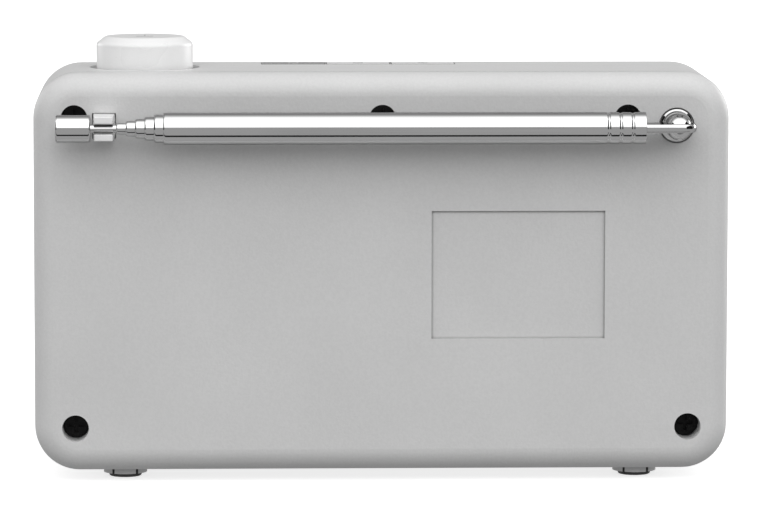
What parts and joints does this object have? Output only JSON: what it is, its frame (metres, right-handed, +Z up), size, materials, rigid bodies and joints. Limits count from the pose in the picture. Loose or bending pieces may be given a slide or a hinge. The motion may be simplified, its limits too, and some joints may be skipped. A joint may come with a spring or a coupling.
{
  "type": "tabletop radio",
  "caption": "Small rounded tabletop radio with a push-and-turn knob and keys on top, a perforated speaker front and a folding telescopic antenna on its rear cover.",
  "frame": {"origin": "centre of the whole radio's footprint, on the surface it stands on, with the antenna folded", "axes": "+Z up, +Y towards the rear cover and its antenna, -Y towards the speaker grille, +X towards the side below the knob"},
  "size_m": [0.154, 0.055, 0.0979],
  "materials": {
    "shell_grey": "light grey moulded ABS with a fine spark texture",
    "white_plastic": "white satin-gloss moulded plastic",
    "front_white": "off-white painted front panel, satin",
    "chrome": "polished chrome plate",
    "steel": "zinc-plated steel",
    "black_screw": "black oxide steel, slightly oily",
    "black_plastic": "black moulded plastic",
    "key_grey": "dark grey satin plastic",
    "rubber": "black soft rubber",
    "cloth": "black acoustic cloth",
    "lens": "smoked clear acrylic window, polished",
    "screen": "liquid crystal module, dark",
    "board": "green solder-masked glass-epoxy board",
    "magnet": "sintered ferrite and plated steel",
    "cone": "pressed paper cone",
    "shield": "tinned steel",
    "chip": "black epoxy package",
    "capacitor": "dark blue sleeve",
    "cell_wrap": "blue shrink sleeve",
    "ribbon": "amber polyimide",
    "wire_black": "black PVC insulation",
    "wire_red": "red PVC insulation"
  },
  "bodies": {
    "case": {"rear_cover": "shell_grey", "front_housing": "shell_grey", "front_panel": "front_white", "speaker_cloth": "cloth", "display_window": "lens", "rubber_feet": "rubber", "cover_screws": "black_screw", "antenna_clip": "white_plastic", "knob_ring": "white_plastic", "encoder_dome": "steel", "encoder_body": "black_plastic", "encoder_bush": "steel", "encoder_nut": "steel", "encoder_board": "board", "key_switches": "black_plastic", "key_board": "board", "antenna_bush": "steel", "bush_nut": "steel", "solder_tag": "steel", "antenna_lead": "wire_black", "speaker_basket": "black_plastic", "speaker_magnet": "magnet", "speaker_cone": "cone", "speaker_screws": "steel", "speaker_leads": "wire_red", "display_module": "screen", "display_board": "board", "display_ribbon": "ribbon", "main_board": "board", "board_screws": "steel", "tuner_shield": "shield", "board_chips": "chip", "board_capacitors": "capacitor", "usb_socket": "steel", "headphone_jack": "black_plastic", "battery_holder": "black_plastic", "battery_cell": "cell_wrap", "battery_contacts": "steel", "battery_leads": "wire_red"},
    "knob_plunger": {"encoder_plunger": "black_plastic"},
    "knob": {"tuning_knob": "white_plastic", "encoder_shaft": "steel"},
    "power_key": {"power_key": "key_grey"},
    "menu_key": {"menu_key": "white_plastic"},
    "preset_key": {"preset_key": "white_plastic"},
    "turret": {"antenna_turret": "chrome", "turret_washer": "steel", "tilt_pin": "chrome"},
    "mast_1": {"antenna_tongue": "chrome", "antenna_tube_1": "chrome"},
    "mast_2": {"antenna_tube_2": "chrome"},
    "mast_3": {"antenna_tube_3": "chrome"},
    "mast_4": {"antenna_tube_4": "chrome"},
    "mast_5": {"antenna_tube_5": "chrome"},
    "mast_6": {"antenna_tube_6": "chrome"},
    "mast_7": {"antenna_rod": "chrome", "antenna_cap": "chrome"}
  },
  "joints": [
    {"name": "knob_push", "type": "slide", "parent": "case", "child": "knob_plunger", "axis": [0, 0, -1], "range_m": [0, 0.0005], "stiffness_N_per_m": 900, "springref_m": -0.0012},
    {"name": "knob_turn", "type": "hinge", "parent": "knob_plunger", "child": "knob", "pos_m": [0.0526, -0.00675, 0.0909], "axis": [0, 0, 1], "continuous": true},
    {"name": "power_key_push", "type": "slide", "parent": "case", "child": "power_key", "axis": [0, 0, -1], "range_m": [0, 0.0005], "stiffness_N_per_m": 600, "springref_m": -0.001},
    {"name": "menu_key_push", "type": "slide", "parent": "case", "child": "menu_key", "axis": [0, 0, -1], "range_m": [0, 0.0005], "stiffness_N_per_m": 600, "springref_m": -0.001},
    {"name": "preset_key_push", "type": "slide", "parent": "case", "child": "preset_key", "axis": [0, 0, -1], "range_m": [0, 0.0005], "stiffness_N_per_m": 600, "springref_m": -0.001},
    {"name": "antenna_swivel", "type": "hinge", "parent": "case", "child": "turret", "pos_m": [-0.065, 0.01675, 0.0794], "axis": [0, -1, 0], "continuous": true},
    {"name": "antenna_tilt", "type": "hinge", "parent": "turret", "child": "mast_1", "pos_m": [-0.065, 0.02375, 0.0794], "axis": [0, 0, 1], "range_deg": [0, 180], "deforming": ["antenna_clip"]},
    {"name": "pull_out_1", "type": "slide", "parent": "mast_1", "child": "mast_2", "axis": [1, 0, 0], "range_m": [0, 0.09]},
    {"name": "pull_out_2", "type": "slide", "parent": "mast_2", "child": "mast_3", "axis": [1, 0, 0], "range_m": [0, 0.09]},
    {"name": "pull_out_3", "type": "slide", "parent": "mast_3", "child": "mast_4", "axis": [1, 0, 0], "range_m": [0, 0.09]},
    {"name": "pull_out_4", "type": "slide", "parent": "mast_4", "child": "mast_5", "axis": [1, 0, 0], "range_m": [0, 0.09]},
    {"name": "pull_out_5", "type": "slide", "parent": "mast_5", "child": "mast_6", "axis": [1, 0, 0], "range_m": [0, 0.09]},
    {"name": "pull_out_6", "type": "slide", "parent": "mast_6", "child": "mast_7", "axis": [1, 0, 0], "range_m": [0, 0.09]}
  ]
}
